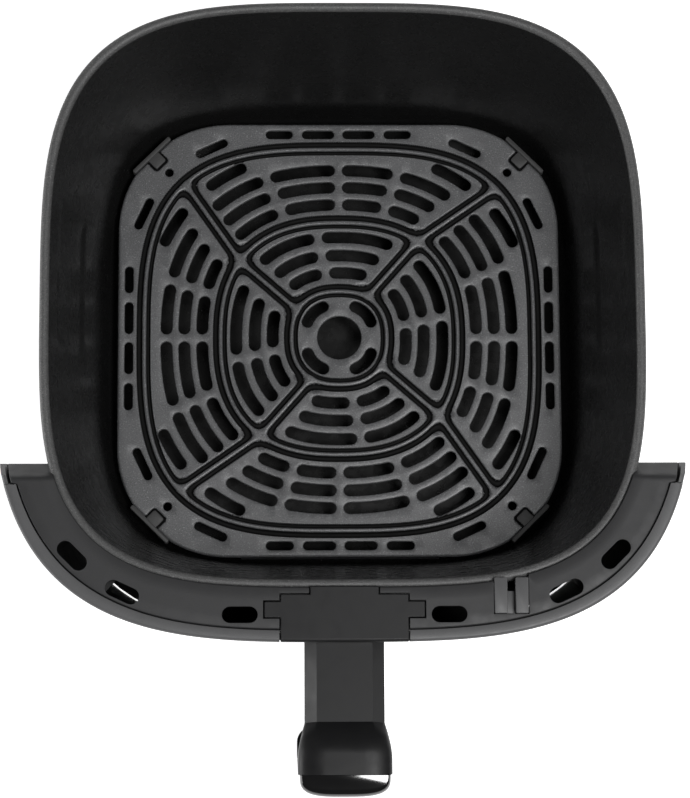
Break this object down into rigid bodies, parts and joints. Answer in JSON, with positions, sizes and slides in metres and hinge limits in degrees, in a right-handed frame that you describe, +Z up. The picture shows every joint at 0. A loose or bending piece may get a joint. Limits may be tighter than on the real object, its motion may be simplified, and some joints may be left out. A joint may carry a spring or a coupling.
{
  "type": "air fryer drawer",
  "caption": "Pull-out air fryer drawer: deep rounded-square non-stick pan, slotted lift-out crisper plate with silicone bumpers, crescent front and upright handle.",
  "frame": {"origin": "centre of the flat pad under the pan, on the surface that the drawer stands on", "axes": "+Z up, -Y towards the handle, +X to the right when facing the handle"},
  "size_m": [0.2986, 0.3499, 0.1204],
  "materials": {
    "nonstick_pan": "semi-gloss non-stick coating, speckled on the rim",
    "nonstick_plate": "textured non-stick coating with fine sparkle",
    "silicone": "matt silicone",
    "collar_plastic": "fine spark-eroded texture",
    "fascia_plastic": "fine satin",
    "liner_plastic": "plain moulded",
    "handle_plastic": "fine matt",
    "gloss_black": "polished",
    "steel_sheet": "galvanised",
    "screw_steel": "zinc plated",
    "black_steel": "black zinc"
  },
  "bodies": {
    "drawer": {"pan": "nonstick_pan", "collar": "collar_plastic", "fascia": "fascia_plastic", "inner_liner": "liner_plastic", "heat_shield": "steel_sheet", "bottom_cover": "liner_plastic", "bracket_left": "black_steel", "bracket_right": "black_steel", "handle_bracket": "black_steel", "handle_mount": "handle_plastic", "neck_top": "handle_plastic", "neck_bottom": "handle_plastic", "handle_core": "steel_sheet", "grip_back": "handle_plastic", "grip_front": "gloss_black", "grip_cap": "handle_plastic", "interlock_guide": "collar_plastic", "collar_screws": "black_steel", "bracket_screws": "black_steel", "cover_screws": "black_steel", "handle_screws": "black_steel", "grip_screws": "screw_steel"},
    "crisper": {"crisper_plate": "nonstick_plate", "bumper_front_left": "silicone", "bumper_front_right": "silicone", "bumper_back_left": "silicone", "bumper_back_right": "silicone"}
  },
  "joints": [
    {"name": "crisper_lift", "type": "slide", "parent": "drawer", "child": "crisper", "axis": [0, 0, 1], "range_m": [0, 0.12]}
  ]
}
